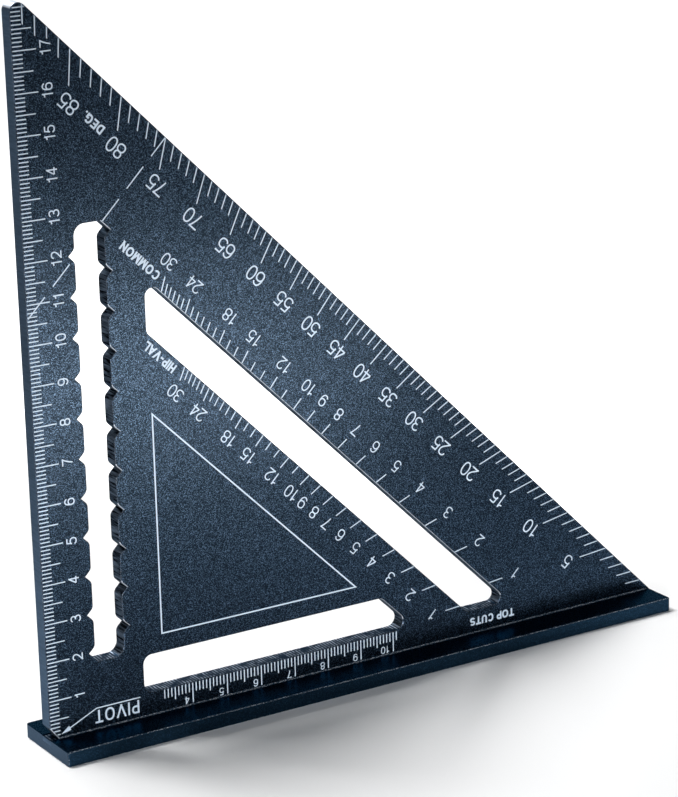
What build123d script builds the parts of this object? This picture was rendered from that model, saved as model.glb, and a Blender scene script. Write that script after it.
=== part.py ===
from build123d import *
import math
import os

os.makedirs("parts", exist_ok=True)

# Blade, a right triangle with its right angle at the pivot: lengths are up and along from there
leg = 184.2
blade_thick = 4.3
tip_radius = 2.2
relief_rise = 3.0
relief_run = 2.5
relief_sink = 0.3
edge_break = 0.16

# How far in from the long edge the slots and the panel begin, as shares of the leg
rafter_slot_edge_share = 0.15635
ruler_slot_edge_share = 0.2747
panel_edge_share = 0.285

# Notched slot beside the straight edge, with vees on both sides half a pitch apart
notch_slot_left = 13.4
notch_slot_width = 8.0
notch_first = 20.0
notch_pitch = 10.0
notch_count = 11
notch_deep = 1.65
notch_end_margin = 2.5
notch_shoulder = 1.8
notch_slot_corner = 2.8

# Ruler slot above the fence
ruler_slot_left = 26.5
ruler_slot_foot = 6.05
ruler_slot_height = 9.95
ruler_slot_to_long_edge = ruler_slot_edge_share * leg
ruler_slot_corner = 2.4

# Rafter slot along the long edge
rafter_slot_left = 31.5
rafter_slot_foot = 6.4
rafter_slot_to_long_edge = rafter_slot_edge_share * leg
rafter_slot_width = 9.7
rafter_slot_corner = 2.0

# Fence, a flat bar across the foot of the blade, as long as the leg
fence_width = 23.1
fence_thick = 3.9
fence_corner = 0.6
fence_break = 0.2
seam_fillet = 0.3
seam_end_margin = 1.0

# Foot of the blade, which fills a groove along the whole fence
foot_deep = 1.5

# Countersunk screws up through the fence into the foot of the blade
screw_count = 5
screw_end_margin = 16.1
screw_wide = 3.0
screw_head_wide = 6.0
screw_head_recess = 0.1
screw_clear = 0.2
screw_tip_gap = 0.5
screw_tip_break = 0.4
screw_web = 1.3
socket_flats = 2.0
socket_deep = 1.0

# Dowel pins that hold the blade square to the fence
dowel_wide = 2.0
dowel_recess = 0.3
dowel_bite = 3.4
dowel_gap = 0.3
dowel_break = 0.2

# Printed lines
ink_thick = 0.05
line_wide = 0.28
line_margin = 0.04

# Millimetre scales on the straight edge and under the ruler slot
scale_pitch = 1.0
edge_tip_share = 0.6
edge_line_short = 2.7
edge_line_mid = 5.2
edge_line_long = 6.2
ruler_first = 32
ruler_last = 101
ruler_line_short = 2.4
ruler_line_mid = 3.3
ruler_line_long = 5.3

# Degree scale on the long edge
degree_line_short = 3.65
degree_line_long = 6.85
degree_line_clipped = 2.2
degree_clipped = 87

# Common and hip or valley rafter scales: each number is a rise in tenths of the common run
common_rise_share = 0.1
hip_valley_rise_share = common_rise_share / math.sqrt(2)
rafter_last = 30
rafter_numbered = (1, 2, 3, 4, 5, 6, 7, 8, 9, 10, 12, 15, 18, 24, 30)
rafter_line_short = 2.6
rafter_line_long = 3.5

# Triangular panel border, dashed line square to the long edge, and pivot arrow
panel_left = 31.8
panel_foot = 20.7
panel_to_long_edge = panel_edge_share * leg
panel_line_wide = 0.36
dash_degree = 75
dash_first_gap = 0.45
dash_long = 6.6
dash_pitch = 9.75
arrow_reach = 2.95
arrow_lift = 0.95
arrow_head_long = 2.7
arrow_head_wide = 1.3
leader_bend = 12.9
leader_end = 25.1
leader_rise = 5.45

# Worked out from the sizes above
LOW = (Align.CENTER, Align.CENTER, Align.MIN)
overrun = fence_thick
diagonal = math.sqrt(2)
front = Plane(origin=(0, -blade_thick / 2, 0), x_dir=(1, 0, 0), z_dir=(0, -1, 0))
notch_foot = notch_first - notch_end_margin
notch_last = notch_first + (notch_count - 1) * notch_pitch
notch_top = notch_last + notch_pitch / 2 + notch_end_margin
notch_slot_right = notch_slot_left + notch_slot_width
ruler_slot_top = ruler_slot_foot + ruler_slot_height
tip_foot = leg - tip_radius * (1 + diagonal)
screw_head_high = (screw_head_wide - screw_wide) / 2
screw_hole_top = min(ruler_slot_foot, rafter_slot_foot) - screw_web
screw_pitch = (leg - 2 * screw_end_margin) / (screw_count - 1)
screw_places = [screw_end_margin + i * screw_pitch for i in range(screw_count)]
dowel_places = [(screw_places[i] + screw_places[i + 1]) / 2 for i in (0, screw_count - 2)]
dowel_top = dowel_bite + dowel_gap


def inside(distance):
    """Sum of run and rise on the line that lies this far inside the long edge."""
    return leg - distance * diagonal


def outline(points):
    """A face from corner points."""
    return make_face(Polyline(*points, close=True))


def notch_side():
    """Straight-edge side of the notched slot from foot to top, with sharp corners."""
    vee_tip = notch_slot_left - notch_deep
    points = [(vee_tip + notch_end_margin, notch_foot)]
    for i in range(notch_count):
        height = notch_first + i * notch_pitch
        if i > 0:
            points.append((notch_slot_left, height - notch_deep))
        points.append((vee_tip, height))
        points.append((notch_slot_left, height + notch_deep))
    points.append((notch_slot_left, notch_top))
    return points


def notched_slot():
    """The slot, the same when turned half round about its middle."""
    side = notch_side()
    across = notch_slot_left + notch_slot_right
    up = notch_foot + notch_top
    other = [(across - x, up - y) for x, y in side]
    face = outline(side + other)
    columns = face.vertices().group_by(Axis.X)
    left_wall = columns[1].sort_by(Axis.Y)
    right_wall = columns[-2].sort_by(Axis.Y)
    face = fillet(left_wall[:-1] + right_wall[1:], notch_shoulder)
    rows = face.vertices().group_by(Axis.Y)
    corners = [rows[-1].sort_by(Axis.X)[0], rows[0].sort_by(Axis.X)[-1]]
    return fillet(corners, notch_slot_corner)


def ruler_slot():
    """Level slot with its far end parallel to the long edge."""
    reach = inside(ruler_slot_to_long_edge)
    face = outline([
        (ruler_slot_left, ruler_slot_foot),
        (reach - ruler_slot_foot, ruler_slot_foot),
        (reach - ruler_slot_top, ruler_slot_top),
        (ruler_slot_left, ruler_slot_top),
    ])
    return fillet(face.vertices(), ruler_slot_corner)


def rafter_slot():
    """Slot along the long edge with an upright upper end and a level lower end."""
    outer = inside(rafter_slot_to_long_edge)
    inner = inside(rafter_slot_to_long_edge + rafter_slot_width)
    face = outline([
        (rafter_slot_left, inner - rafter_slot_left),
        (inner - rafter_slot_foot, rafter_slot_foot),
        (outer - rafter_slot_foot, rafter_slot_foot),
        (rafter_slot_left, outer - rafter_slot_left),
    ])
    return fillet(face.vertices(), rafter_slot_corner)


def triangle():
    """The blade's outline with its rounded tip, its relief at the pivot and its foot."""
    face = outline([
        (0, -foot_deep),
        (leg, -foot_deep),
        (leg, 0),
        (0, leg),
        (0, relief_rise),
        (relief_run, -relief_sink),
        (0, -relief_sink),
    ])
    tip = face.vertices().sort_by(Axis.Y)[-1]
    return fillet(tip, tip_radius)


def blade_face():
    """The blade's outline with its three slots."""
    return triangle() - notched_slot() - ruler_slot() - rafter_slot()


def pins(wide, low, high, places):
    """Upright cylinders between two heights, for holes and shanks."""
    pin = Cylinder(wide / 2, high - low, align=LOW)
    return [Pos(x, 0, low) * pin for x in places]


def blade():
    """Slotted plate with broken edges above the fence, and holes for screws and dowels."""
    plate = extrude(front * blade_face(), -blade_thick)
    rims = plate.faces().sort_by(Axis.Y)
    edges = rims[0].edges() + rims[-1].edges()
    edges = edges.filter_by(lambda edge: edge.bounding_box().max.Z > edge_break)
    plate = chamfer(edges, edge_break)
    for hole in pins(screw_wide, -fence_thick, screw_hole_top, screw_places):
        plate -= hole
    for hole in pins(dowel_wide, -fence_thick, dowel_top, dowel_places):
        plate -= hole
    return plate


def seam(side):
    """Small fillet along the foot of the blade, on one side of it."""
    foot = side * blade_thick / 2
    out = foot + side * seam_fillet
    profile = outline([(foot, 0), (out, 0), (foot, seam_fillet)])
    start = Plane(origin=(relief_run, 0, 0), x_dir=(0, 1, 0), z_dir=(1, 0, 0))
    return extrude(start * profile, leg - relief_run - seam_end_margin)


def head_seat():
    """Countersink at the underside of the fence."""
    mouth = screw_head_wide / 2 + screw_head_recess
    return Cone(mouth, screw_wide / 2, screw_head_high + screw_head_recess, align=LOW)


def fence():
    """Bar with its groove, pivot nick, screw seats, dowel holes and the fillets beside the blade."""
    bar = Box(leg, fence_width, fence_thick, align=(Align.MIN, Align.CENTER, Align.MAX))
    bar = fillet(bar.edges().filter_by(Axis.Z), fence_corner)
    rims = bar.faces().filter_by(Axis.Z)
    bar = chamfer(rims[0].edges() + rims[-1].edges(), fence_break)
    bar += seam(-1)
    bar += seam(1)
    bar -= Pos(leg / 2, 0, -foot_deep) * Box(leg + 2 * overrun, blade_thick, fence_thick, align=LOW)
    bar -= Box(2 * relief_run, blade_thick + 2 * seam_fillet, 2 * relief_sink)
    for hole in pins(screw_wide + 2 * screw_clear, -fence_thick - overrun, 0, screw_places):
        bar -= hole
    for x in screw_places:
        bar -= Pos(x, 0, -fence_thick) * head_seat()
    for hole in pins(dowel_wide, -fence_thick - overrun, 0, dowel_places):
        bar -= hole
    return bar


def screw():
    """Countersunk screw, head down, with its head at height zero."""
    head = Cone(screw_head_wide / 2, screw_wide / 2, screw_head_high, align=LOW)
    tall = screw_hole_top - screw_tip_gap + fence_thick - screw_head_recess
    shank = Cylinder(screw_wide / 2, tall, align=LOW)
    tip = shank.faces().sort_by(Axis.Z)[-1]
    shank = chamfer(tip.edges(), screw_tip_break)
    socket = extrude(RegularPolygon(socket_flats / 2, 6, major_radius=False), socket_deep)
    return head + shank - socket


def fence_screws():
    """One screw in each place."""
    one = screw()
    low = screw_head_recess - fence_thick
    return [Pos(x, 0, low) * one for x in screw_places]


def fence_dowels():
    """One pin in each dowel hole."""
    made = []
    for pin in pins(dowel_wide, dowel_recess - fence_thick, dowel_bite, dowel_places):
        ends = pin.edges().filter_by(GeomType.CIRCLE)
        made.append(chamfer(ends, dowel_break))
    return made


def bar_line(x, y, long, high):
    """Printed rectangle from its lower left corner."""
    return Pos(x, y) * Rectangle(long, high, align=(Align.MIN, Align.MIN))


def ray_line(degrees, inner, outer):
    """Printed line aimed at the pivot, with both ends parallel to the long edge."""
    angle = math.radians(degrees)
    along = (math.cos(angle), math.sin(angle))
    points = []
    for side, reach in ((-1, inner), (-1, outer), (1, outer), (1, inner)):
        off = side * line_wide / 2
        go = (reach - off * (along[0] - along[1])) / (along[0] + along[1])
        points.append((go * along[0] - off * along[1], go * along[1] + off * along[0]))
    return Polygon(*points, align=None)


def edge_start(height):
    """How far in from the straight edge a line at this height begins."""
    margin = edge_break + line_margin
    above = height + line_wide / 2 - tip_foot
    if height < relief_rise:
        return margin + relief_run * (1 - height / relief_rise)
    if above > 0:
        return tip_radius - math.sqrt((tip_radius - margin) ** 2 - above ** 2)
    return margin


def edge_graduations():
    """Millimetre lines up the straight edge, cut off at the long edge near the tip."""
    reach = inside(edge_break + line_margin)
    made = []
    for i in range(1, int((tip_foot + edge_tip_share * tip_radius) / scale_pitch) + 1):
        end = edge_line_long if i % 10 == 0 else edge_line_mid if i % 5 == 0 else edge_line_short
        height = i * scale_pitch
        start = edge_start(height)
        end = min(end, reach - height - line_wide / 2)
        made.append(bar_line(start, height - line_wide / 2, end - start, line_wide))
    return made


def ruler_graduations():
    """Millimetre lines under the ruler slot."""
    top = ruler_slot_foot - edge_break - line_margin
    made = []
    for i in range(ruler_first, ruler_last + 1):
        long = ruler_line_long if i % 10 == 0 else ruler_line_mid if i % 5 == 0 else ruler_line_short
        made.append(bar_line(i * scale_pitch - line_wide / 2, top - long, line_wide, long))
    return made


def degree_graduations():
    """Degree lines along the long edge, every fifth one long."""
    outer = inside(edge_break + line_margin)
    made = []
    for i in range(1, 90):
        deep = degree_line_long if i % 5 == 0 else degree_line_short
        if i == degree_clipped:
            deep = degree_line_clipped
        made.append(ray_line(i, inside(deep), outer))
    return made


def rafter_graduations(rise_share, edge, side):
    """Rise lines for one rafter, beside the rafter slot and on one side of it."""
    near = edge + side * (edge_break + line_margin)
    made = []
    for i in range(1, rafter_last + 1):
        long = rafter_line_long if i in rafter_numbered else rafter_line_short
        reach = sorted((inside(near), inside(edge + side * long)))
        made.append(ray_line(math.degrees(math.atan(i * rise_share)), *reach))
    return made


def panel_border():
    """Outline of the triangular panel."""
    reach = inside(panel_to_long_edge)
    rim = outline([
        (panel_left, panel_foot),
        (reach - panel_foot, panel_foot),
        (panel_left, reach - panel_left),
    ])
    return [rim - offset(rim, -panel_line_wide, kind=Kind.INTERSECTION)]


def dashed_line(crossed):
    """Dashes square to the long edge at one degree mark, clear of slots and of crossed lines."""
    offset_up = leg / diagonal * math.tan(math.radians(dash_degree - 45))
    printable = offset(blade_face(), -edge_break - line_margin, kind=Kind.INTERSECTION)
    made = []
    place = offset_up + dash_first_gap
    while place < leg / diagonal:
        dash = Rot(0, 0, 45) * bar_line(place, offset_up - line_wide / 2, dash_long, line_wide)
        dash = dash & printable
        if dash:
            box = dash.bounding_box()
            for line in crossed:
                if box.overlaps(line.bounding_box()):
                    dash = dash - line
            made += dash.faces()
        place += dash_pitch
    return made


def pivot_arrow():
    """Arrow to the pivot with a bent leader."""
    run = leader_bend - arrow_reach
    rise = leader_rise - arrow_lift
    turn = math.degrees(math.atan2(rise, run))
    head = Polygon((0, 0), (arrow_head_long, -arrow_head_wide / 2), (arrow_head_long, arrow_head_wide / 2),
                   align=None)
    stem = bar_line(arrow_head_long / 2, -line_wide / 2, math.hypot(run, rise) - arrow_head_long / 2, line_wide)
    level = bar_line(leader_bend, leader_rise - line_wide / 2, leader_end - leader_bend, line_wide)
    elbow = Pos(leader_bend, leader_rise) * Circle(line_wide / 2)
    return [Pos(arrow_reach, arrow_lift) * Rot(0, 0, turn) * (head + stem) + level + elbow]


def printed(faces):
    """Ink layers on the front of the blade."""
    return [extrude(front * face, ink_thick) for face in faces]


def save(name, solids):
    """Stand the pieces on their underside, centred, and write them as one node."""
    placed = [Pos(-leg / 2, 0, fence_thick) * solid for solid in solids]
    whole = placed[0] if len(placed) == 1 else Compound(placed)
    export_step(whole, "parts/" + name + ".step")


edge_lines = edge_graduations()
degree_lines = degree_graduations()
rafter_outer = rafter_slot_to_long_edge
rafter_inner = rafter_slot_to_long_edge + rafter_slot_width

save("blade", [blade()])
save("fence", [fence()])
save("fence_screws", fence_screws())
save("fence_dowels", fence_dowels())
save("edge_graduations", printed(edge_lines))
save("ruler_graduations", printed(ruler_graduations()))
save("degree_graduations", printed(degree_lines))
save("common_graduations", printed(rafter_graduations(common_rise_share, rafter_outer, -1)))
save("hip_valley_graduations", printed(rafter_graduations(hip_valley_rise_share, rafter_inner, 1)))
save("panel_border", printed(panel_border()))
save("dashed_line", printed(dashed_line(edge_lines + degree_lines)))
save("pivot_arrow", printed(pivot_arrow()))
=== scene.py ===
"""Looks for the rafter square: anodised metal, white print, numerals, words and a studio stage."""

import math
from collections import namedtuple

import bpy
from mathutils import Matrix, Vector, geometry


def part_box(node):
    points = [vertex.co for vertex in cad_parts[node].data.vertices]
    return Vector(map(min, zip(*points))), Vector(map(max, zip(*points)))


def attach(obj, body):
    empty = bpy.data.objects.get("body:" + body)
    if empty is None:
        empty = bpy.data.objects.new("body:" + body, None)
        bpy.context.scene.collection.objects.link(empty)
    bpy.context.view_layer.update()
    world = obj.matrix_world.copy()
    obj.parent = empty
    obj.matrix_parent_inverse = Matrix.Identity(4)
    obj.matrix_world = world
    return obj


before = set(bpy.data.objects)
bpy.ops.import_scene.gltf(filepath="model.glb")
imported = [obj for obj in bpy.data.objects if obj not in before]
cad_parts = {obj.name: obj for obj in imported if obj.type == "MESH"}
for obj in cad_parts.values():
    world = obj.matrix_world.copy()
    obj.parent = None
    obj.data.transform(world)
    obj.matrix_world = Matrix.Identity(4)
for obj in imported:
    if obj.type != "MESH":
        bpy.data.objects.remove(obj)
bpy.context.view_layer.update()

bl_info = {
    "name": "Rafter square looks",
    "version": (1, 0, 0),
    "blender": (4, 5, 0),
    "location": "3D View > Sidebar > Square",
    "description": "Finishes, lettering and stage for a rafter square",
    "category": "Object",
}

MM = 0.001
BLADE_LOW, BLADE_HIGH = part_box("blade")
PRINT_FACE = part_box("edge_graduations")[0].y
METAL_NODES = {
    "blade": "blade_anodised",
    "fence": "fence_anodised",
    "fence_screws": "screw_steel",
    "fence_dowels": "screw_steel",
}
PRINT_NODES = [
    "edge_graduations",
    "ruler_graduations",
    "degree_graduations",
    "common_graduations",
    "hip_valley_graduations",
    "panel_border",
    "dashed_line",
    "pivot_arrow",
]

# Numbers of each scale. A rafter number is the rise of a roof over a run of ten
DEGREE_NUMBERS = range(5, 90, 5)
RAFTER_NUMBERS = (1, 2, 3, 4, 5, 6, 7, 8, 9, 10, 12, 15, 18, 24, 30)
RAFTER_RUN = 10
EDGE_NUMBERS = range(1, 18)
RULER_NUMBERS = range(4, 11)

# Turns of the lines of text
SLANTED_TURN = math.radians(135)
UPRIGHT_TURN = math.radians(90)
LEVEL_TURN = math.radians(180)
MIDDLE_AXIS_DEGREES = 45


class SquareFinish(bpy.types.PropertyGroup):
    """Colours and grain of the finishes."""

    blade_colour: bpy.props.FloatVectorProperty(
        name="Blade", description="Dyed colour of the blade", subtype="COLOR",
        size=4, min=0, max=1, default=(0.0212, 0.0370, 0.0605, 1))
    fence_colour: bpy.props.FloatVectorProperty(
        name="Fence", description="Dyed colour of the fence", subtype="COLOR",
        size=4, min=0, max=1, default=(0.0110, 0.0290, 0.0530, 1))
    # The ends are dyed, but this paler tone is also a painted reflection of the lit paper beside
    # them
    end_colour: bpy.props.FloatVectorProperty(
        name="End faces", description="Dye on the straight edge and the fence's ends",
        subtype="COLOR", size=4, min=0, max=1, default=(0.100, 0.130, 0.175, 1))
    # Bare metal for the worn broken edges, also laid as painted glints on the tip and the downhill
    # chamfers
    edge_colour: bpy.props.FloatVectorProperty(
        name="Broken edges", description="Bare metal on the broken edges", subtype="COLOR",
        size=4, min=0, max=1, default=(0.75, 0.80, 0.88, 1))
    mark_colour: bpy.props.FloatVectorProperty(
        name="Cutter marks", description="Crests of the cutter's marks in the slots",
        subtype="COLOR", size=4, min=0, max=1, default=(0.55, 0.64, 0.76, 1))
    mark_pitch: bpy.props.FloatProperty(
        name="Cutter pitch", description="Step of the cutter's marks", unit="LENGTH",
        precision=5, default=0.85 * MM)
    wall_colour: bpy.props.FloatVectorProperty(
        name="Slot walls", description="Dye on the milled walls of the slots",
        subtype="COLOR", size=4, min=0, max=1, default=(0.050, 0.062, 0.080, 1))
    blade_graze: bpy.props.FloatVectorProperty(
        name="Blade at a low angle", description="Tint of the blade seen at a low angle",
        subtype="COLOR", size=4, min=0, max=1, default=(0.30, 0.37, 0.44, 1))
    fence_graze: bpy.props.FloatVectorProperty(
        name="Fence at a low angle", description="Tint of the fence seen at a low angle",
        subtype="COLOR", size=4, min=0, max=1, default=(0.45, 0.52, 0.60, 1))
    steel_colour: bpy.props.FloatVectorProperty(
        name="Steel", description="Colour of the screws and dowels", subtype="COLOR",
        size=4, min=0, max=1, default=(0.42, 0.43, 0.45, 1))
    print_colour: bpy.props.FloatVectorProperty(
        name="Print", description="Colour of the printed marks", subtype="COLOR",
        size=4, min=0, max=1, default=(0.43, 0.515, 0.615, 1))
    grain_size: bpy.props.FloatProperty(
        name="Grain", description="Size of one grain of the blasted surface", unit="LENGTH",
        precision=5, default=0.21 * MM)
    speck_size: bpy.props.FloatProperty(
        name="Speck", description="Size of one bright speck of the blasted surface",
        unit="LENGTH", precision=5, default=0.14 * MM)
    grain_depth: bpy.props.FloatProperty(
        name="Grain depth", description="Depth of the blasted grain", unit="LENGTH",
        precision=6, default=0.05 * MM)
    blade_sparkle: bpy.props.FloatProperty(
        name="Blade sparkle", description="Strength of the specks and the grain on the blade",
        subtype="FACTOR", min=0, max=1, default=1.0)
    fence_sparkle: bpy.props.FloatProperty(
        name="Fence sparkle", description="Strength of the specks and the grain on the fence",
        subtype="FACTOR", min=0, max=1, default=0.35)
    blade_scuff: bpy.props.FloatProperty(
        name="Blade scuffs", description="Bare metal in the specks on the blade's broken edges",
        subtype="FACTOR", min=0, max=1, default=0.22)
    fence_scuff: bpy.props.FloatProperty(
        name="Fence scuffs", description="Bare metal in the specks on the fence's broken edges",
        subtype="FACTOR", min=0, max=1, default=0.6)
    # Bare metal on the chamfers that look down and away from the straight edge, laid there as a
    # painted glint line
    pencil_scuff: bpy.props.FloatProperty(
        name="Pencil wear", description="Bare metal on the edges that a pencil runs along",
        subtype="FACTOR", min=0, max=1, default=0.8)
    # Bare metal on the upward faces of the tip: partly wear, partly a painted glint
    tip_wear: bpy.props.FloatProperty(
        name="Worn tip", description="Height of the bare metal on the tip of the blade",
        unit="LENGTH", precision=5, default=1.7 * MM)
    tip_fade: bpy.props.FloatProperty(
        name="Worn tip's fade", description="Height over which the tip's dye fades to bare metal",
        unit="LENGTH", precision=5, default=0.7 * MM)
    blade_roughness: bpy.props.FloatProperty(
        name="Blade roughness", description="Middle roughness of the blade", subtype="FACTOR",
        min=0, max=1, default=0.30)
    fence_roughness: bpy.props.FloatProperty(
        name="Fence roughness", description="Middle roughness of the fence", subtype="FACTOR",
        min=0, max=1, default=0.27)
    wall_roughness: bpy.props.FloatProperty(
        name="Wall roughness", description="Roughness of the walls of the slots",
        subtype="FACTOR", min=0, max=1, default=0.58)
    shine_roughness: bpy.props.FloatProperty(
        name="Upward wall roughness", description="Roughness of the walls that look upwards",
        subtype="FACTOR", min=0, max=1, default=0.36)
    end_roughness: bpy.props.FloatProperty(
        name="End roughness", description="Roughness of the straight edge",
        subtype="FACTOR", min=0, max=1, default=0.34)
    edge_roughness: bpy.props.FloatProperty(
        name="Edge roughness", description="Roughness of the broken edges",
        subtype="FACTOR", min=0, max=1, default=0.6)


class SquareLettering(bpy.types.PropertyGroup):
    """Sizes of the numerals and words, measured from the pivot."""

    fence_thick: bpy.props.FloatProperty(
        name="Fence", description="Thickness of the fence under the blade", unit="LENGTH",
        precision=5, default=3.9 * MM)
    degree_height: bpy.props.FloatProperty(
        name="Degree numerals", description="Height of the degree numerals", unit="LENGTH",
        precision=5, default=3.85 * MM)
    degree_reach: bpy.props.FloatProperty(
        name="Degree reach", description="Distance of the degree numerals from the pivot",
        unit="LENGTH", precision=5, default=120.15 * MM)
    common_height: bpy.props.FloatProperty(
        name="Common numerals", description="Height of the common rafter numerals",
        unit="LENGTH", precision=5, default=3.2 * MM)
    common_reach: bpy.props.FloatProperty(
        name="Common reach", description="Distance of the common numerals from the pivot",
        unit="LENGTH", precision=5, default=108.3 * MM)
    hip_valley_height: bpy.props.FloatProperty(
        name="Hip or valley numerals", description="Height of the hip or valley numerals",
        unit="LENGTH", precision=5, default=3.25 * MM)
    hip_valley_reach: bpy.props.FloatProperty(
        name="Hip or valley reach", description="Distance of these numerals from the pivot",
        unit="LENGTH", precision=5, default=85.2 * MM)
    edge_height: bpy.props.FloatProperty(
        name="Edge numerals", description="Height of the numerals on the straight edge",
        unit="LENGTH", precision=5, default=2.8 * MM)
    edge_foot: bpy.props.FloatProperty(
        name="Edge base", description="Base line of these numerals from the straight edge",
        unit="LENGTH", precision=5, default=9.9 * MM)
    ruler_height: bpy.props.FloatProperty(
        name="Ruler numerals", description="Height of the numerals under the ruler slot",
        unit="LENGTH", precision=5, default=2.0 * MM)
    ruler_foot: bpy.props.FloatProperty(
        name="Ruler base", description="Base line of the ruler numerals above the fence",
        unit="LENGTH", precision=5, default=2.5 * MM)
    ruler_gap: bpy.props.FloatProperty(
        name="Ruler gap", description="Gap from a ruler line to its numeral", unit="LENGTH",
        precision=5, default=1.1 * MM)
    digit_wide_share: bpy.props.FloatProperty(
        name="Digit width", description="Width of a digit as a share of its height",
        subtype="FACTOR", min=0, max=1, default=0.64)
    digit_step_share: bpy.props.FloatProperty(
        name="Digit step", description="Step from digit to digit as a share of the height",
        subtype="FACTOR", min=0, max=1, default=0.715)
    stroke_share: bpy.props.FloatProperty(
        name="Stroke", description="Stroke of a numeral as a share of its height",
        subtype="FACTOR", min=0, max=1, default=0.094)
    small_stroke_share: bpy.props.FloatProperty(
        name="Small stroke", description="Stroke of the small numerals as a share of the height",
        subtype="FACTOR", min=0, max=1, default=0.110)
    word_stroke: bpy.props.FloatProperty(
        name="Word stroke", description="Stroke of the words", unit="LENGTH", precision=5,
        default=0.47 * MM)
    scale_step: bpy.props.FloatProperty(
        name="Scale step", description="Distance between numbered lines", unit="LENGTH",
        precision=5, default=10 * MM)
    sink: bpy.props.FloatProperty(
        name="Sink", description="How far the print reaches into the blade", unit="LENGTH",
        precision=6, default=0.02 * MM)


class SquareStage(bpy.types.PropertyGroup):
    """Camera, paper sweep and lamps."""

    camera_spot: bpy.props.FloatVectorProperty(
        name="Camera", description="Place of the camera", subtype="TRANSLATION", size=3,
        default=(-0.37666, -0.60489, 0.28535))
    camera_right: bpy.props.FloatVectorProperty(
        name="Camera right", description="Right hand of the camera", subtype="DIRECTION",
        size=3, default=(0.8482, -0.5291, -0.0248))
    camera_up: bpy.props.FloatVectorProperty(
        name="Camera up", description="Upper side of the camera", subtype="DIRECTION",
        size=3, default=(0.1704, 0.2282, 0.9586))
    camera_lens: bpy.props.FloatProperty(
        name="Lens", description="Focal length", unit="CAMERA", default=131.93)
    paper_width: bpy.props.FloatProperty(
        name="Paper width", description="Width of the square sheet of paper", unit="LENGTH",
        default=6.0)
    paper_colour: bpy.props.FloatVectorProperty(
        name="Paper", description="Colour of the paper", subtype="COLOR", size=4, min=0, max=1,
        default=(0.9, 0.9, 0.9, 1))
    white_start: bpy.props.FloatProperty(
        name="White from", description="How far behind the square the paper starts to turn white",
        unit="LENGTH", default=0.07)
    white_end: bpy.props.FloatProperty(
        name="White at", description="How far behind the square the paper is all white",
        unit="LENGTH", default=0.19)
    room_start: bpy.props.FloatProperty(
        name="Room from", description="Reach at which the paper starts to take the room's tone",
        unit="LENGTH", default=0.25)
    room_end: bpy.props.FloatProperty(
        name="Room at", description="Reach at which the paper has all of the room's tone",
        unit="LENGTH", default=0.9)
    room_tone: bpy.props.FloatProperty(
        name="Room", description="Pale tone of the far room and the far paper", min=0, max=1,
        default=0.34)
    studio_light: bpy.props.FloatProperty(
        name="Studio", description="Faint light of the room on the square", min=0, default=0.02)
    overhead_power: bpy.props.FloatProperty(
        name="Overhead lamp", description="Power of the overhead softbox", unit="POWER",
        default=0.66)
    side_power: bpy.props.FloatProperty(
        name="Side lamp", description="Power of the softbox above the thin end", unit="POWER",
        default=1.70)
    back_power: bpy.props.FloatProperty(
        name="Back lamp", description="Power of the back softbox", unit="POWER", default=1.6)
    strip_power: bpy.props.FloatProperty(
        name="Strip lamp", description="Power of the low strip light", unit="POWER", default=0.049)
    strip_colour: bpy.props.FloatVectorProperty(
        name="Strip colour", description="Warmth of the low strip light", subtype="COLOR", size=3,
        min=0, max=1, default=(1.0, 0.84, 0.72))
    fill_power: bpy.props.FloatProperty(
        name="Fill lamp", description="Power of the fill softbox", unit="POWER", default=0.66)
    fill_colour: bpy.props.FloatVectorProperty(
        name="Fill colour", description="Coolness of the fill softbox", subtype="COLOR", size=3,
        min=0, max=1, default=(0.92, 0.965, 1.0))


BOWL_SQUARENESS = 0.88
BOWL_STEP_DEGREES = 11


def squared(share):
    """A sine or cosine bent outwards, so that its curve fills the corners of its box more."""
    return math.copysign(abs(share) ** BOWL_SQUARENESS, share)


def bow(across, up, half_wide, half_high, start, end):
    """Points of a bowl from one angle to another, a little squarer than an ellipse."""
    steps = max(2, round(abs(end - start) / BOWL_STEP_DEGREES))
    points = []
    for i in range(steps + 1):
        angle = math.radians(start + (end - start) * i / steps)
        side = squared(math.cos(angle))
        rise = squared(math.sin(angle))
        points.append((across + half_wide * side, up + half_high * rise))
    return points


def ring(across, up, half_wide, half_high):
    """A closed bowl."""
    return bow(across, up, half_wide, half_high, 0, 360)


def half_turn(strokes):
    """The strokes turned half round in their box."""
    return [[(1 - x, 1 - y) for x, y in stroke] for stroke in strokes]


SIX = [
    ring(0.5, 0.315, 0.5, 0.315),
    [(0, 0.315), (0, 0.42)] + bow(0.53, 0.5, 0.53, 0.5, 180, 35),
]
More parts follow.
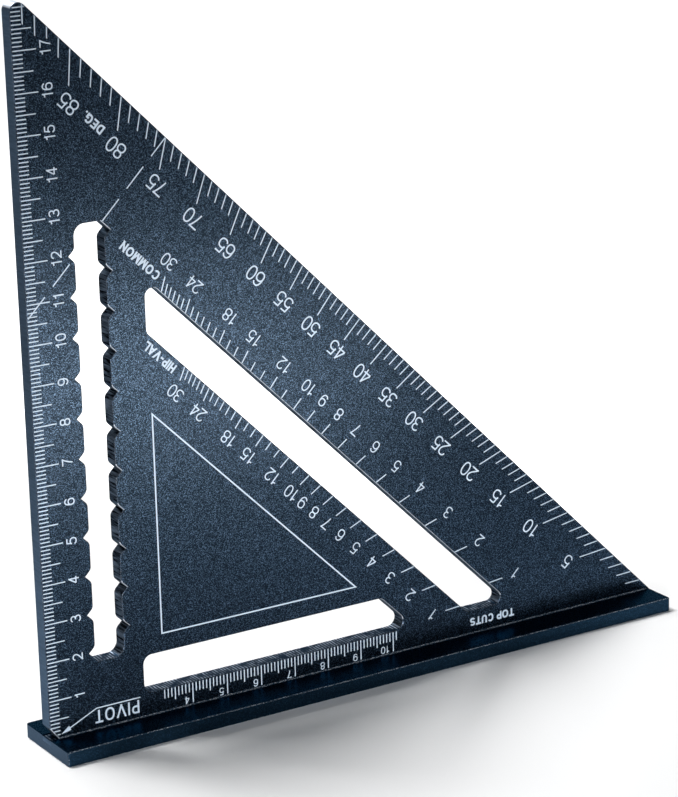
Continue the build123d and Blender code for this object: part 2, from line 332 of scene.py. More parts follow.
# Middle lines of each stroke, in shares of the width and of the height
GLYPHS = {
    "0": [ring(0.5, 0.5, 0.5, 0.5)],
    "1": [[(0.66, 0), (0.66, 1)], [(0.64, 1), (0.58, 0.88), (0.44, 0.81), (0.16, 0.79)]],
    "2": [bow(0.5, 0.71, 0.48, 0.29, 170, -12)
          + [(0.9, 0.53), (0.7, 0.37), (0.36, 0.19), (0.12, 0.07), (0.03, 0)], [(0, 0), (1, 0)]],
    "3": [bow(0.48, 0.76, 0.44, 0.24, 160, -75) + [(0.38, 0.525)],
          [(0.38, 0.525)] + bow(0.48, 0.265, 0.52, 0.265, 75, -160)],
    "4": [[(0.72, 1), (0, 0.29)], [(-0.04, 0.25), (1, 0.25)], [(0.74, 0), (0.74, 1)]],
    "5": [[(0.95, 1), (0.19, 1), (0.07, 0.46)], bow(0.47, 0.325, 0.53, 0.325, 152, -158)],
    "6": SIX,
    "7": [[(0, 1), (1, 1)], [(0.97, 1), (0.73, 0.7), (0.52, 0.36), (0.38, 0)]],
    "8": [ring(0.5, 0.765, 0.44, 0.235), ring(0.5, 0.27, 0.5, 0.27)],
    "9": half_turn(SIX),
    "A": [[(0, 0), (0.5, 1)], [(1, 0), (0.5, 1)], [(0.2, 0.3), (0.8, 0.3)]],
    "C": [bow(0.5, 0.5, 0.5, 0.5, 38, 322)],
    "D": [[(0, 0), (0, 1)], [(0, 1)] + bow(0.42, 0.5, 0.58, 0.5, 90, -90) + [(0, 0)]],
    "E": [[(0, 0), (0, 1)], [(0, 1), (1, 1)], [(0, 0.52), (0.93, 0.52)], [(0, 0), (1, 0)]],
    "G": [bow(0.5, 0.5, 0.5, 0.5, 40, 345), [(0.58, 0.47), (1, 0.47)], [(1, 0), (1, 0.47)]],
    "H": [[(0, 0), (0, 1)], [(1, 0), (1, 1)], [(0, 0.52), (1, 0.52)]],
    "I": [[(0.5, 0), (0.5, 1)]],
    "L": [[(0, 0), (0, 1)], [(0, 0), (1, 0)]],
    "M": [[(0, 0), (0, 1)], [(1, 0), (1, 1)], [(0, 1), (0.5, 0)], [(1, 1), (0.5, 0)]],
    "N": [[(0, 0), (0, 1)], [(1, 0), (1, 1)], [(0, 1), (1, 0)]],
    "O": [ring(0.5, 0.5, 0.5, 0.5)],
    "P": [[(0, 0), (0, 1)], [(0, 1)] + bow(0.55, 0.72, 0.45, 0.28, 90, -90) + [(0, 0.44)]],
    "S": [bow(0.5, 0.755, 0.46, 0.245, 22, 262) + bow(0.5, 0.255, 0.5, 0.255, 82, -158)],
    "T": [[(0, 1), (1, 1)], [(0.5, 0), (0.5, 1)]],
    "U": [[(0, 1)] + bow(0.5, 0.38, 0.5, 0.38, 180, 360) + [(1, 1)]],
    "V": [[(0, 1), (0.5, 0)], [(1, 1), (0.5, 0)]],
    "-": [[(0, 0.4), (1, 0.4)]],
    ".": [[(0, 0), (0, 0.12)]],
}
# Widths of the letters as shares of their height
LETTER_SHARES = {
    "A": 0.74, "C": 0.66, "D": 0.60, "E": 0.50, "G": 0.68, "H": 0.58, "I": 0, "L": 0.48,
    "M": 0.74, "N": 0.58, "O": 0.72, "P": 0.52, "S": 0.56, "T": 0.56, "U": 0.58, "V": 0.70,
    "-": 0.22, ".": 0, " ": 0.06,
}
LETTER_GAP_SHARE = 0.36

# Limits for the outline of a stroke: the slope from which it counts as upright, the sharpest
# mitre, and the shares of the width within which two points are one
UPRIGHT_SLOPE = 0.4
MITRE_LIMIT = 0.5
CLOSED_SHARE = 0.005
WELD_SHARE = 0.001
TRIANGLES_INSIDE = 1


def stroke_quads(points, half):
    """Four-cornered faces of one stroke of constant width."""
    path = [Vector(p) for p in points]
    closed = (path[0] - path[-1]).length < 2 * half * CLOSED_SHARE
    if closed:
        path.pop()
    count = len(path)
    left = []
    right = []
    for i, point in enumerate(path):
        before = path[i - 1] if closed or i > 0 else point
        after = path[(i + 1) % count] if closed or i < count - 1 else point
        into = (point - before).normalized()
        out = (after - point).normalized()
        into = into if into.length else out
        out = out if out.length else into
        along = (into + out).normalized()
        reach = Vector((-along.y, along.x)) * (half / max(along.dot(out), MITRE_LIMIT))
        if count == 2 and abs(out.y) > UPRIGHT_SLOPE:
            reach = Vector((-half / out.y, 0))
        left.append(point + reach)
        right.append(point - reach)
    last = count if closed else count - 1
    quads = []
    for i in range(last):
        j = (i + 1) % count
        quads.append((right[i], right[j], left[j], left[i]))
    return quads


def rim_reach(share, outward, half):
    """How far an open end runs on so that the stroke fills its box."""
    along = outward.normalized()
    upright = abs(along.y) > UPRIGHT_SLOPE
    on_rim = share[1] in (0, 1) if upright else share[0] in (0, 1)
    return along * half / max(abs(along.x), abs(along.y)) if on_rim else Vector((0, 0))


def text_axes(turn):
    """Right hand and upper side of a line of text that is turned by an angle."""
    right = Vector((math.cos(turn), math.sin(turn)))
    return right, Vector((-right.y, right.x))


def glyph_faces(letter, wide, high, stroke):
    """Points and triangles of one letter in a box of this width and height, stroke included."""
    points = []
    faces = []
    for line in GLYPHS[letter]:
        middle = [Vector((x * (wide - stroke), y * (high - stroke))) for x, y in line]
        if line[0] != line[-1]:
            middle[0] += rim_reach(line[0], middle[0] - middle[1], stroke / 2)
            middle[-1] += rim_reach(line[-1], middle[-1] - middle[-2], stroke / 2)
        for quad in stroke_quads(middle, stroke / 2):
            faces.append(list(range(len(points), len(points) + 4)))
            points.extend(corner + Vector((stroke, stroke)) / 2 for corner in quad)
    corners, _, cells, _, _, sources = geometry.delaunay_2d_cdt(
        points, [], faces, TRIANGLES_INSIDE, stroke * WELD_SHARE)
    return corners, [cell for cell, source in zip(cells, sources) if source]


class Lettering:
    """Gathers letters into one closed mesh that lies on the front of the blade."""

    def __init__(self, sizes):
        self.sizes = sizes
        self.points = []
        self.faces = []

    def spot(self, along, up, depth):
        """A point of the blade's front, from the pivot."""
        return (BLADE_LOW.x + along, depth, self.sizes.fence_thick + up)

    def letter(self, letter, start, turn, wide, high, stroke):
        """One letter from the lower left corner of its box, turned by an angle."""
        flat, faces = glyph_faces(letter, wide, high, stroke)
        right, rise = text_axes(turn)
        first = len(self.points)
        count = len(flat)
        for depth in (PRINT_FACE, BLADE_LOW.y + self.sizes.sink):
            for point in flat:
                place = start + right * point.x + rise * point.y
                self.points.append(self.spot(place.x, place.y, depth))
        sides = {}
        for face in faces:
            self.faces.append([first + i for i in face])
            self.faces.append([first + count + i for i in reversed(face)])
            sides.update(dict.fromkeys(zip(face, face[1:] + face[:1])))
        for a, b in sides:
            if (b, a) not in sides:
                self.faces.append([first + b, first + a, first + count + a, first + count + b])

    def number(self, text, middle, turn, high, stroke_share):
        """A number centred on a point."""
        wide = high * self.sizes.digit_wide_share
        step = high * self.sizes.digit_step_share
        right, rise = text_axes(turn)
        start = middle - right * (step * (len(text) - 1) + wide) / 2 - rise * high / 2
        for i, digit in enumerate(text):
            self.letter(digit, start + right * step * i, turn, wide, high, high * stroke_share)

    def word(self, text, start, turn, long, high, stroke):
        """A word from the lower left of its first letter, fitted to a length."""
        gap = LETTER_GAP_SHARE * high
        widths = [LETTER_SHARES[letter] * high for letter in text]
        fit = (long - stroke) / (sum(widths) + gap * (len(text) - 1))
        right, _ = text_axes(turn)
        along = 0
        for letter, wide in zip(text, widths):
            if letter != " ":
                self.letter(letter, start + right * along, turn, wide * fit + stroke, high, stroke)
            along += (wide + gap) * fit

    def piece(self, name):
        """The finished piece, riding with the square."""
        if not self.faces:
            raise RuntimeError("no letters were made for " + name)
        mesh = bpy.data.meshes.new(name)
        mesh.from_pydata(self.points, [], self.faces)
        mesh.validate()
        mesh.update()
        made = bpy.data.objects.new(name, mesh)
        bpy.context.scene.collection.objects.link(made)
        mesh.materials.append(bpy.data.materials["white_print"])
        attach(made, "root")


def from_axis(reach, aside):
    """A place from the pivot, given along the middle axis of the triangle and aside from it."""
    return Vector((reach - aside, reach + aside)) / math.sqrt(2)


def on_ray(reach, degrees):
    """Where a line from the pivot at this angle is this far along the middle axis."""
    return from_axis(reach, reach * math.tan(math.radians(degrees - MIDDLE_AXIS_DEGREES)))


# Places of the sockets of a mix node, which go by their numbers because their names repeat
MIX_NUMBER_ENTRIES = (2, 3)
MIX_COLOUR_ENTRIES = (6, 7)
MIX_COLOUR_OUTPUT = 2


class Tree:
    """Short calls for the nodes of a shader tree."""

    def __init__(self, tree):
        self.tree = tree

    def add(self, kind, **settings):
        """A new node with its settings."""
        made = self.tree.nodes.new(kind)
        for name, value in settings.items():
            setattr(made, name, value)
        return made

    def link(self, source, output, target, entry):
        """Joins a node's output to another node's entry."""
        self.tree.links.new(source.outputs[output], target.inputs[entry])

    def place(self):
        """Coordinates in the frame of the square."""
        return self.add("ShaderNodeTexCoord")

    def spot(self):
        """The three parts of the place of a point."""
        made = self.add("ShaderNodeSeparateXYZ")
        self.link(self.place(), "Object", made, "Vector")
        return made

    def noise(self, scale, detail, rough, stretch=(1, 1, 1)):
        """Soft noise of so many grains a metre, drawn out along an axis by a small stretch."""
        made = self.add("ShaderNodeTexNoise")
        made.inputs["Scale"].default_value = scale
        made.inputs["Detail"].default_value = detail
        made.inputs["Roughness"].default_value = rough
        drawn = self.add("ShaderNodeVectorMath", operation="MULTIPLY")
        drawn.inputs[1].default_value = stretch
        self.link(self.place(), "Object", drawn, 0)
        self.link(drawn, "Vector", made, "Vector")
        return made

    def specks(self, size):
        """A number from 0 to 1 for each speck of about this size."""
        cells = self.add("ShaderNodeTexVoronoi")
        cells.inputs["Scale"].default_value = 1 / size
        self.link(self.place(), "Object", cells, "Vector")
        made = self.add("ShaderNodeSeparateColor")
        self.link(cells, "Color", made, "Color")
        return made

    def tint(self, colour, tone):
        """A colour made lighter and darker by a tone."""
        made = self.add("ShaderNodeVectorMath", operation="SCALE")
        made.inputs[0].default_value = colour[:3]
        self.tree.links.new(tone.outputs[0], made.inputs["Scale"])
        return made.outputs[0]

    def ramp(self, source, output, low, high, first, last):
        """Maps the stretch from low to high onto the one from first to last."""
        made = self.add("ShaderNodeMapRange")
        for entry, value in (("From Min", low), ("From Max", high), ("To Min", first),
                             ("To Max", last)):
            made.inputs[entry].default_value = value
        self.link(source, output, made, "Value")
        return made

    def maths(self, operation, source, output, value=None, other=None):
        """One step of arithmetic on an output, with a number or another socket."""
        made = self.add("ShaderNodeMath", operation=operation)
        self.link(source, output, made, 0)
        if other is not None:
            self.tree.links.new(other, made.inputs[1])
        elif value is not None:
            made.inputs[1].default_value = value
        return made

    def mix(self, kind, share, first, second, entries):
        """A mix node, whose entries for the first and the second depend on its kind."""
        made = self.add("ShaderNodeMix", data_type=kind)
        self.tree.links.new(share, made.inputs[0])
        for entry, value in zip(entries, (first, second)):
            if isinstance(value, bpy.types.NodeSocket):
                self.tree.links.new(value, made.inputs[entry])
            else:
                made.inputs[entry].default_value = value
        return made

    def blend(self, share, first, second):
        """A colour between two, each a colour or a socket."""
        return self.mix("RGBA", share, first, second, MIX_COLOUR_ENTRIES).outputs[MIX_COLOUR_OUTPUT]

    def level(self, share, first, second):
        """A number between two, each a number or a socket."""
        return self.mix("FLOAT", share, first, second, MIX_NUMBER_ENTRIES).outputs[0]


class Finish(Tree):
    """A node material with its principled shader."""

    def __init__(self, name):
        self.material = bpy.data.materials.get(name) or bpy.data.materials.new(name)
        self.material.use_nodes = True
        super().__init__(self.material.node_tree)
        self.tree.nodes.clear()
        self.shader = self.add("ShaderNodeBsdfPrincipled")
        self.link(self.shader, "BSDF", self.add("ShaderNodeOutputMaterial"), "Surface")

    def colour(self, socket):
        """Sets the colour of the surface."""
        self.tree.links.new(socket, self.shader.inputs["Base Color"])

    def roughness(self, socket):
        """Sets the roughness of the surface."""
        self.tree.links.new(socket, self.shader.inputs["Roughness"])

    def bump(self, height, depth, strength):
        """Raises and sinks the surface a little."""
        made = self.add("ShaderNodeBump")
        made.inputs["Strength"].default_value = strength
        made.inputs["Distance"].default_value = depth
        self.tree.links.new(height, made.inputs["Height"])
        self.link(made, "Normal", self.shader, "Normal")


# Parts of a face's direction, from 0 to 1, that tell its kind. The last adds up two parts
WALL_MOST_FORWARD = 0.3
SILL_LEAST_UP = 0.9
SHINE_LEAST_UP = 0.25
END_LEAST_ASIDE = 0.9
EDGE_FORWARD = 0.71
EDGE_SPREAD = 0.08
DOWNHILL_LEAST = 0.85

# The middle of the noise, where nearly all of it lies
NOISE_LOW = 0.3
NOISE_HIGH = 0.7

# Clouds, specks and grain of a blasted face
CLOUDS_PER_METRE = 14.0
CLOUD_DEPTH = 0.08
SPECK_SHARE = 0.32
SPECK_GAIN = 3.2
BETWEEN_SPECKS_LOSS = 0.6
GRAIN_ROUGHNESS = 0.05
GRAIN_BUMP = 0.35


def darker(colour, share):
    """A share of a colour."""
    return [part * share for part in colour[:3]] + [1]


def facing(made):
    """The three parts of the direction that a face looks in."""
    normal = made.add("ShaderNodeNewGeometry")
    parts = made.add("ShaderNodeSeparateXYZ")
    made.link(normal, "True Normal", parts, "Vector")
    return parts


def blasted(made, colour, graze, roughness, sparkle, finish):
    """Bead-blasted and dyed aluminium: sparkling grain on a faintly clouded dye."""
    made.shader.inputs["Metallic"].default_value = 1.0
    made.shader.inputs["Specular Tint"].default_value = graze
    grain = made.noise(1 / finish.grain_size, detail=2.0, rough=0.7)
    cloud = made.noise(CLOUDS_PER_METRE, detail=3.0, rough=0.5)
    patch = made.ramp(cloud, "Fac", NOISE_LOW, NOISE_HIGH, 1 - CLOUD_DEPTH, 1 + CLOUD_DEPTH)
    specks = made.specks(finish.speck_size)
    dull = 1 - BETWEEN_SPECKS_LOSS * sparkle
    bright = 1 + SPECK_GAIN * sparkle
    tone = made.ramp(specks, "Red", 1 - SPECK_SHARE, 1, dull, bright)
    tone = made.maths("MULTIPLY", tone, "Result", other=patch.outputs[0])
    rough = made.ramp(grain, "Fac", NOISE_LOW, NOISE_HIGH,
                      roughness + GRAIN_ROUGHNESS, roughness - GRAIN_ROUGHNESS)
    made.bump(grain.outputs["Fac"], finish.grain_depth, GRAIN_BUMP * sparkle)
    return grain, made.tint(colour, tone), rough.outputs[0]


def downhill(made):
    """1 where the surface looks away from the long edge and down, as in the rafter slot: the
    chamfers that get a painted glint.
    """
    look = facing(made)
    fall = made.maths("ADD", look, "X", other=look.outputs["Z"])
    return made.maths("LESS_THAN", fall, "Value", -DOWNHILL_LEAST).outputs[0]


def broken_edges(made, grain, base, rough, scuff, finish):
    """Dye worn off in specks on the narrow broken edges, and bare metal laid as a painted glint on
    the chamfers that look down and away from the straight edge.
    """
    slant = made.maths("ABSOLUTE", facing(made), "Y")
    off = made.maths("SUBTRACT", slant, "Value", EDGE_FORWARD)
    off = made.maths("ABSOLUTE", off, "Value")
    edge = made.maths("LESS_THAN", off, "Value", EDGE_SPREAD)
    worn = made.ramp(grain, "Fac", low=0.52, high=0.62, first=0, last=scuff)
    # More bare metal on the downhill chamfers: a painted glint line
    worn = made.level(downhill(made), worn.outputs[0], finish.pencil_scuff)
    worn = made.maths("MULTIPLY", edge, "Value", other=worn)
    made.colour(made.blend(worn.outputs[0], base, finish.edge_colour))
    made.roughness(made.level(edge.outputs[0], rough, finish.edge_roughness))


# A wave texture of scale 1 turns by so many radians over one metre
WAVE_TURN = 20
UNEVEN_PITCHES = 2.5


def cutter_marks(made, finish):
    """Uneven ribs across the thickness of the blade, left by the cutter's feed."""
    wave = made.add("ShaderNodeTexWave", bands_direction="X", wave_profile="SIN")
    wave.inputs["Scale"].default_value = 2 * math.pi / (WAVE_TURN * finish.mark_pitch)
    wave.inputs["Distortion"].default_value = 2.5
    wave.inputs["Detail"].default_value = 1.0
    wave.inputs["Detail Scale"].default_value = 0.6
    made.link(made.place(), "Object", wave, "Vector")
    crest = made.ramp(wave, "Fac", low=0.55, high=0.90, first=0, last=1)
    uneven = made.noise(1 / (UNEVEN_PITCHES * finish.mark_pitch), detail=2.0, rough=0.6)
    uneven = made.ramp(uneven, "Fac", low=0.38, high=0.60, first=0, last=1)
    crest = made.maths("MULTIPLY", crest, "Result", other=uneven.outputs[0])
    return made.blend(crest.outputs[0], finish.blade_colour, finish.mark_colour)


def bare_tip(made, finish):
    """1 on the tip of the blade, where bare metal is laid: partly worn dye, partly a painted glint.
    """
    start = BLADE_HIGH.z - finish.tip_wear
    return made.ramp(made.spot(), "Z", start, start + finish.tip_fade, 0, 1)


# Streaks that the cutter draws across the walls, and the part of the blade that is its edge
STREAK_SIZE = 0.5 * MM
STREAK_STRETCH = (1, 0.08, 1)
STRAIGHT_EDGE_REACH = 2 * MM
STRAIGHT_EDGE_FADE = 1 * MM


def straight_edge(made, look):
    """1 on the straight edge of the blade."""
    start = BLADE_LOW.x + STRAIGHT_EDGE_REACH
    outside = made.ramp(made.spot(), "X", start + STRAIGHT_EDGE_FADE, start, 0, 1)
    end = made.maths("LESS_THAN", look, "X", -END_LEAST_ASIDE)
    return made.maths("MULTIPLY", end, "Value", other=outside.outputs[0]).outputs[0]


def blade_finish(name, finish):
    """Blasted faces, a straight edge painted paler to stand for its reflection of the lit paper,
    and cutter's marks on the walls of the slots.
    """
    made = Finish(name)
    grain, base, rough = blasted(made, finish.blade_colour, finish.blade_graze,
                                 finish.blade_roughness, finish.blade_sparkle, finish)
    look = facing(made)
    across = made.maths("ABSOLUTE", look, "Y")
    wall = made.maths("LESS_THAN", across, "Value", WALL_MOST_FORWARD).outputs[0]
    drawn = made.noise(1 / STREAK_SIZE, detail=3.0, rough=0.65, stretch=STREAK_STRETCH)
    streak = made.ramp(drawn, "Fac", low=0.40, high=0.68, first=0.05, last=2.6)
    base = made.blend(wall, base, made.tint(finish.wall_colour, streak))
    rough = made.level(wall, rough, finish.wall_roughness)

    sill = made.maths("GREATER_THAN", look, "Z", SILL_LEAST_UP).outputs[0]
    base = made.blend(sill, base, cutter_marks(made, finish))
    shine = made.maths("GREATER_THAN", look, "Z", SHINE_LEAST_UP)
    shine = made.maths("MULTIPLY", shine, "Value", other=wall).outputs[0]
    rough = made.level(shine, rough, finish.shine_roughness)
    # Bare metal on the tip's upward faces: wear and a painted glint
    tip = made.maths("MULTIPLY", bare_tip(made, finish), "Result", other=shine)
    base = made.blend(tip.outputs[0], base, finish.edge_colour)

    # A paler tone on the straight edge: a painted reflection of the lit paper, with faint random
    # streaks
    end = straight_edge(made, look)
    faint = made.ramp(drawn, "Fac", NOISE_LOW, NOISE_HIGH, first=0.75, last=1.25)
    base = made.blend(end, base, made.tint(finish.end_colour, faint))
    rough = made.level(end, rough, finish.end_roughness)
    broken_edges(made, grain, base, rough, finish.blade_scuff, finish)
    return made.material


# Tone of the fence's ends as a share of the straight edge's, both painted paler as a stand-in for
# their reflection of the lit paper
FENCE_END_SHARE = 0.62


def fence_finish(name, finish):
    """Smoother bar with its ends painted paler, a painted reflection of the lit paper."""
    made = Finish(name)
    grain, base, rough = blasted(made, finish.fence_colour, finish.fence_graze,
                                 finish.fence_roughness, finish.fence_sparkle, finish)
    end = made.maths("ABSOLUTE", facing(made), "X")
    end = made.maths("GREATER_THAN", end, "Value", END_LEAST_ASIDE)
    base = made.blend(end.outputs[0], base, darker(finish.end_colour, FENCE_END_SHARE))
    broken_edges(made, grain, base, rough, finish.fence_scuff, finish)
    return made.material


STEEL_STREAKS_PER_METRE = 2400.0
STEEL_SHADE_SHARE = 0.8
STEEL_GRAIN_DEPTH = 0.01 * MM


def steel(name, colour):
    """Plain turned steel."""
    made = Finish(name)
    made.shader.inputs["Metallic"].default_value = 1.0
    streak = made.noise(STEEL_STREAKS_PER_METRE, detail=2.0, rough=0.5)
    shade = darker(colour, STEEL_SHADE_SHARE)
    made.colour(made.blend(streak.outputs["Fac"], shade, colour))
    rough = made.ramp(streak, "Fac", NOISE_LOW, NOISE_HIGH, first=0.28, last=0.42)
    made.roughness(rough.outputs[0])
    made.bump(streak.outputs["Fac"], STEEL_GRAIN_DEPTH, strength=0.3)
    return made.material


THIN_PRINT_SHARE = 0.78
PRINT_GRAIN_DEPTH = 0.02 * MM


def white_print(name, colour, finish):
    """Matt print that shows the grain below it."""
    made = Finish(name)
    grain = made.noise(1 / finish.grain_size, detail=3.0, rough=0.65)
    thin = made.ramp(grain, "Fac", low=0.28, high=0.46, first=1, last=0)
    shade = darker(colour, THIN_PRINT_SHARE)
    made.colour(made.blend(thin.outputs[0], colour, shade))
    rough = made.ramp(grain, "Fac", NOISE_LOW, NOISE_HIGH, first=0.5, last=0.68)
    made.roughness(rough.outputs[0])
    made.bump(grain.outputs["Fac"], PRINT_GRAIN_DEPTH, strength=0.4)
    return made.material


def dress(node, material):
    """Gives a CAD node its finish."""
    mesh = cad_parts[node].data
    mesh.materials.clear()
    mesh.materials.append(material)


class SQUARE_OT_metal(bpy.types.Operator):
    """Finishes the blade, the fence and its fasteners."""

    bl_idname = "square.metal"
    bl_label = "Finish the metal"

    def execute(self, context):
        finish = context.scene.square_finish
        made = {
            "blade_anodised": blade_finish("blade_anodised", finish),
            "fence_anodised": fence_finish("fence_anodised", finish),
            "screw_steel": steel("screw_steel", finish.steel_colour),
        }
        for node, name in METAL_NODES.items():
            dress(node, made[name])
        return {"FINISHED"}


class SQUARE_OT_lines(bpy.types.Operator):
    """Finishes the printed lines of the scales, panel and arrow."""

    bl_idname = "square.lines"
    bl_label = "Finish the printed lines"

    def execute(self, context):
        finish = context.scene.square_finish
        made = white_print("white_print", finish.print_colour, finish)
        for node in PRINT_NODES:
            dress(node, made)
        return {"FINISHED"}


class SQUARE_OT_numerals(bpy.types.Operator):
    """Prints the numerals of the five scales."""

    bl_idname = "square.numerals"
    bl_label = "Print the numerals"

    def execute(self, context):
        sizes = context.scene.square_lettering
        self.degrees(sizes)
        self.rafters("common_numerals", sizes, sizes.common_reach, sizes.common_height, 1)
        self.rafters("hip_valley_numerals", sizes, sizes.hip_valley_reach,
                     sizes.hip_valley_height, math.sqrt(2))
        self.edge(sizes)
        self.ruler(sizes)
        return {"FINISHED"}

    def degrees(self, sizes):
        """Numerals of the degree scale."""
        made = Lettering(sizes)
        for degrees in DEGREE_NUMBERS:
            middle = on_ray(sizes.degree_reach, degrees)
            made.number(str(degrees), middle, SLANTED_TURN, sizes.degree_height, sizes.stroke_share)
        made.piece("degree_numerals")

    def rafters(self, name, sizes, reach, high, longer):
        """Numerals of a rafter scale, for a run that is so many times as long."""
        made = Lettering(sizes)
        for rise in RAFTER_NUMBERS:
            degrees = math.degrees(math.atan(rise / RAFTER_RUN / longer))
            made.number(str(rise), on_ray(reach, degrees), SLANTED_TURN, high, sizes.stroke_share)
        made.piece(name)

    def edge(self, sizes):
        """Centimetres up the straight edge."""
        made = Lettering(sizes)
        along = sizes.edge_foot - sizes.edge_height / 2
        for count in EDGE_NUMBERS:
            middle = Vector((along, count * sizes.scale_step))
            made.number(str(count), middle, UPRIGHT_TURN, sizes.edge_height,
                        sizes.small_stroke_share)
        made.piece("edge_numerals")

    def ruler(self, sizes):
        """Centimetres under the ruler slot, each beside its line."""
        made = Lettering(sizes)
        up = sizes.ruler_foot - sizes.ruler_height / 2
        for count in RULER_NUMBERS:
            text = str(count)
            step = sizes.digit_step_share * (len(text) - 1)
            long = sizes.ruler_height * (sizes.digit_wide_share + step)
            middle = Vector((count * sizes.scale_step - sizes.ruler_gap - long / 2, up))
            made.number(text, middle, LEVEL_TURN, sizes.ruler_height, sizes.small_stroke_share)
        made.piece("ruler_numerals")


# Words with their length, their height and the start of their base line from the pivot, in
# millimetres: along the middle axis and aside for the slanted ones, along and up for the others
SlantedWord = namedtuple("SlantedWord", "text long high reach aside")
LevelWord = namedtuple("LevelWord", "text long high along up")
SLANTED_WORDS = (
    SlantedWord("HIP-VAL", long=10.9, high=2.35, reach=90.55, aside=34.8),
    SlantedWord("COMMON", long=13.4, high=2.35, reach=105.0, aside=53.9),
    SlantedWord("DEG.", long=6.6, high=2.3, reach=122.05, aside=89.4),
)
LEVEL_WORDS = (
    LevelWord("TOP CUTS", long=14.2, high=2.25, along=138.6, up=4.3),
    LevelWord("PIVOT", long=12.3, high=3.4, along=24.7, up=4.85),
)


class SQUARE_OT_words(bpy.types.Operator):
    """Prints the names of the scales."""

    bl_idname = "square.words"
    bl_label = "Print the words"

    def execute(self, context):
        sizes = context.scene.square_lettering
        made = Lettering(sizes)
        for word in SLANTED_WORDS:
            start = from_axis(word.reach * MM, word.aside * MM)
            made.word(word.text, start, SLANTED_TURN, word.long * MM, word.high * MM,
                      sizes.word_stroke)
        made.piece("scale_names")
        made = Lettering(sizes)
        for word in LEVEL_WORDS:
            start = Vector((word.along, word.up)) * MM
            made.word(word.text, start, LEVEL_TURN, word.long * MM, word.high * MM,
                      sizes.word_stroke)
        made.piece("fence_words")
        return {"FINISHED"}


WHITE = (1, 1, 1, 1)
FIBRES_PER_METRE = 900.0
FIBRE_SHARE = 0.985

# The paper turns white away from the camera and a little to its right
WHITE_AWAY_SHARE = 0.9
WHITE_ASIDE_SHARE = 0.44

# What the camera sees, in metres
NEAREST = 0.01
FARTHEST = 20


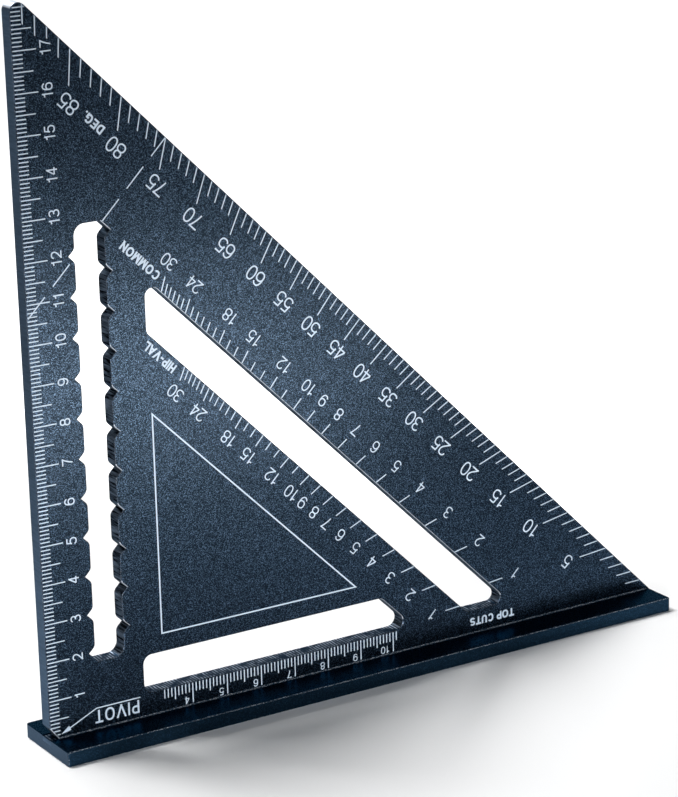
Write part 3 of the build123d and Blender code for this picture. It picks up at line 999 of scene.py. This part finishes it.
class SQUARE_OT_stage(bpy.types.Operator):
    """Sets the paper sweep, the lamps and the camera."""

    bl_idname = "square.stage"
    bl_label = "Set the stage"

    def execute(self, context):
        stage = context.scene.square_stage
        right = Vector(stage.camera_right).normalized()
        up = Vector(stage.camera_up).normalized()
        back = right.cross(up).normalized()
        self.camera(context, stage, right, up, back)
        self.paper(context, stage, back)
        self.lamps(context, stage)
        self.world(context, stage)
        context.scene.view_settings.view_transform = "Standard"
        return {"FINISHED"}

    def camera(self, context, stage, right, up, back):
        """The photograph's viewpoint."""
        data = bpy.data.cameras.new("camera")
        data.lens = stage.camera_lens
        data.clip_start = NEAREST
        data.clip_end = FARTHEST
        made = bpy.data.objects.new("camera", data)
        turn = Matrix((right, up, back)).transposed().to_4x4()
        made.matrix_world = Matrix.Translation(stage.camera_spot) @ turn
        context.scene.collection.objects.link(made)
        context.scene.camera = made

    def paper(self, context, stage, back):
        """One large sheet under the square."""
        half = stage.paper_width / 2
        corners = [(-half, -half, 0), (half, -half, 0), (half, half, 0), (-half, half, 0)]
        mesh = bpy.data.meshes.new("paper")
        mesh.from_pydata(corners, [], [(0, 1, 2, 3)])
        made = bpy.data.objects.new("paper", mesh)
        context.scene.collection.objects.link(made)
        away = Vector((-back.x, -back.y, 0)).normalized()
        aside = Vector((away.y, -away.x, 0))
        heading = away * WHITE_AWAY_SHARE + aside * WHITE_ASIDE_SHARE
        mesh.materials.append(self.paper_finish(stage, heading))

    def seen(self, made):
        """One for what is seen straight, in a shine or through glass."""
        ray = made.add("ShaderNodeLightPath")
        share = made.maths("MAXIMUM", ray, "Is Camera Ray", other=ray.outputs["Is Glossy Ray"])
        return made.maths("MAXIMUM", share, "Value", other=ray.outputs["Is Transmission Ray"])

    def paper_finish(self, stage, heading):
        """Pale paper that fades to white behind the square and to the room's tone elsewhere."""
        made = Finish("paper")
        made.shader.inputs["Roughness"].default_value = 0.9
        made.shader.inputs["Specular IOR Level"].default_value = 0.1
        fibre = made.noise(FIBRES_PER_METRE, detail=3.0, rough=0.6)
        shade = darker(stage.paper_colour, FIBRE_SHARE)
        made.colour(made.blend(fibre.outputs["Fac"], shade, stage.paper_colour))
        behind = made.add("ShaderNodeVectorMath", operation="DOT_PRODUCT")
        behind.inputs[1].default_value = heading
        made.link(made.place(), "Object", behind, 0)
        white = made.ramp(behind, "Value", stage.white_start, stage.white_end, 0, 1)
        reach = made.add("ShaderNodeVectorMath", operation="LENGTH")
        made.link(made.place(), "Object", reach, 0)
        far = made.ramp(reach, "Value", stage.room_start, stage.room_end, 0, stage.room_tone)
        white.interpolation_type = "SMOOTHSTEP"
        far.interpolation_type = "SMOOTHSTEP"
        glow = made.maths("MAXIMUM", white, "Result", other=far.outputs[0])
        glow = made.maths("MULTIPLY", glow, "Value", other=self.seen(made).outputs[0])
        made.shader.inputs["Emission Color"].default_value = WHITE
        made.link(glow, "Value", made.shader, "Emission Strength")
        return made.material

    def lamp(self, context, name, spot, target, wide, high, spread, power, colour=WHITE[:3]):
        """A softbox aimed at a target, with its places in metres and its spread in degrees."""
        data = bpy.data.lights.new(name, "AREA")
        data.shape = "RECTANGLE"
        data.size = wide
        data.size_y = high
        data.spread = math.radians(spread)
        data.energy = power
        data.color = colour
        made = bpy.data.objects.new(name, data)
        made.location = spot
        aim = Vector(target) - Vector(spot)
        made.rotation_mode = "QUATERNION"
        made.rotation_quaternion = aim.to_track_quat("-Z", "Y")
        context.scene.collection.objects.link(made)

    def lamps(self, context, stage):
        """Soft light from above and behind, a low strip in front and a cool fill from the left."""
        self.lamp(context, "overhead_softbox", spot=(-0.18, 0.14, 0.60), target=(-0.02, -0.03, 0.0),
                  wide=0.12, high=0.24, spread=76, power=stage.overhead_power)
        self.lamp(context, "side_softbox", spot=(0.10, 0.30, 0.60), target=(0.10, 0.12, 0.0),
                  wide=0.40, high=0.24, spread=180, power=stage.side_power)
        self.lamp(context, "back_softbox", spot=(-0.15, 0.85, 0.72), target=(-0.02, 0.0, 0.1),
                  wide=0.45, high=0.10, spread=180, power=stage.back_power)
        self.lamp(context, "strip_softbox", spot=(-0.008, -0.205, 0.034), target=(-0.06, 0.0, 0.10),
                  wide=0.235, high=0.05, spread=70, power=stage.strip_power,
                  colour=stage.strip_colour)
        self.lamp(context, "fill_softbox", spot=(-0.62, -0.85, 0.10), target=(0.05, 0.0, 0.02),
                  wide=0.3, high=0.08, spread=36, power=stage.fill_power, colour=stage.fill_colour)

    def world(self, context, stage):
        """A room of one pale tone that gives the square little light."""
        world = context.scene.world or bpy.data.worlds.new("studio")
        context.scene.world = world
        world.use_nodes = True
        made = Tree(world.node_tree)
        sky = made.tree.nodes["Background"]
        sky.inputs["Color"].default_value = WHITE
        tone = made.ramp(self.seen(made), "Value", 0, 1, stage.studio_light, stage.room_tone)
        made.link(tone, "Result", sky, "Strength")


STEPS = (SQUARE_OT_metal, SQUARE_OT_lines, SQUARE_OT_numerals, SQUARE_OT_words, SQUARE_OT_stage)


class SQUARE_PT_panel(bpy.types.Panel):
    """Lists the steps and the sizes."""

    bl_label = "Rafter square"
    bl_idname = "SQUARE_PT_panel"
    bl_space_type = "VIEW_3D"
    bl_region_type = "UI"
    bl_category = "Square"

    def draw(self, context):
        for step in STEPS:
            self.layout.operator(step.bl_idname)
        for group in ("square_finish", "square_lettering", "square_stage"):
            values = getattr(context.scene, group)
            box = self.layout.box()
            for name in values.__annotations__:
                box.prop(values, name)


CLASSES = (SquareFinish, SquareLettering, SquareStage, *STEPS, SQUARE_PT_panel)


def register():
    for part in CLASSES:
        bpy.utils.register_class(part)
    bpy.types.Scene.square_finish = bpy.props.PointerProperty(type=SquareFinish)
    bpy.types.Scene.square_lettering = bpy.props.PointerProperty(type=SquareLettering)
    bpy.types.Scene.square_stage = bpy.props.PointerProperty(type=SquareStage)


def unregister():
    del bpy.types.Scene.square_stage
    del bpy.types.Scene.square_lettering
    del bpy.types.Scene.square_finish
    for part in reversed(CLASSES):
        bpy.utils.unregister_class(part)


def main():
    register()
    bpy.ops.square.metal()
    bpy.ops.square.lines()
    bpy.ops.square.numerals()
    bpy.ops.square.words()
    bpy.ops.square.stage()


if __name__ == "__main__":
    main()
